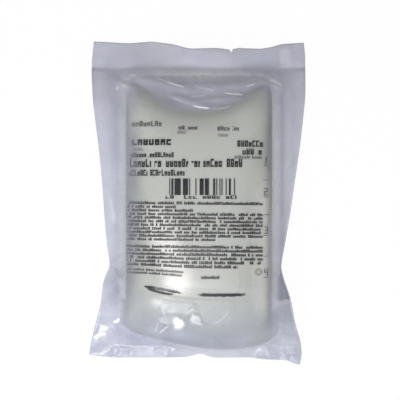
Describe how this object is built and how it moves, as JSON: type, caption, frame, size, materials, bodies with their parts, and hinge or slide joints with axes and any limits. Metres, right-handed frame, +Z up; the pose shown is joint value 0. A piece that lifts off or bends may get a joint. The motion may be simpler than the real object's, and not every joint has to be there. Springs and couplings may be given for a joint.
{
  "type": "iv fluid bag",
  "caption": "Half-litre saline infusion bag with a hanger slot and two ports folded under it, lying flat and sealed in a milky translucent film pouch.",
  "frame": {"origin": "on the table under the middle of the pouch's outline", "axes": "+Z up from the table towards the printed side, +Y along the bag towards its hanger slot, +X to the right of the printed side"},
  "size_m": [0.1521, 0.2268, 0.0461],
  "materials": {
    "pouch_film": "milky translucent film, satin",
    "bag_film": "clear soft vinyl, slightly frosted",
    "saline": "clear liquid",
    "port_vinyl": "clear vinyl tube",
    "protector": "blue moulded, satin",
    "septum_rubber": "tan, matt",
    "housing": "white moulded, satin"
  },
  "bodies": {
    "root": {"overwrap_front_film": "pouch_film", "overwrap_rear_film": "pouch_film", "bag_front_sheet": "bag_film", "bag_rear_sheet": "bag_film", "saline_solution": "saline", "administration_port_tube": "port_vinyl", "administration_port_membrane": "port_vinyl", "administration_port_protector": "protector", "medication_port_tube": "port_vinyl", "medication_port_septum": "septum_rubber", "medication_port_housing": "housing"}
  },
  "joints": []
}
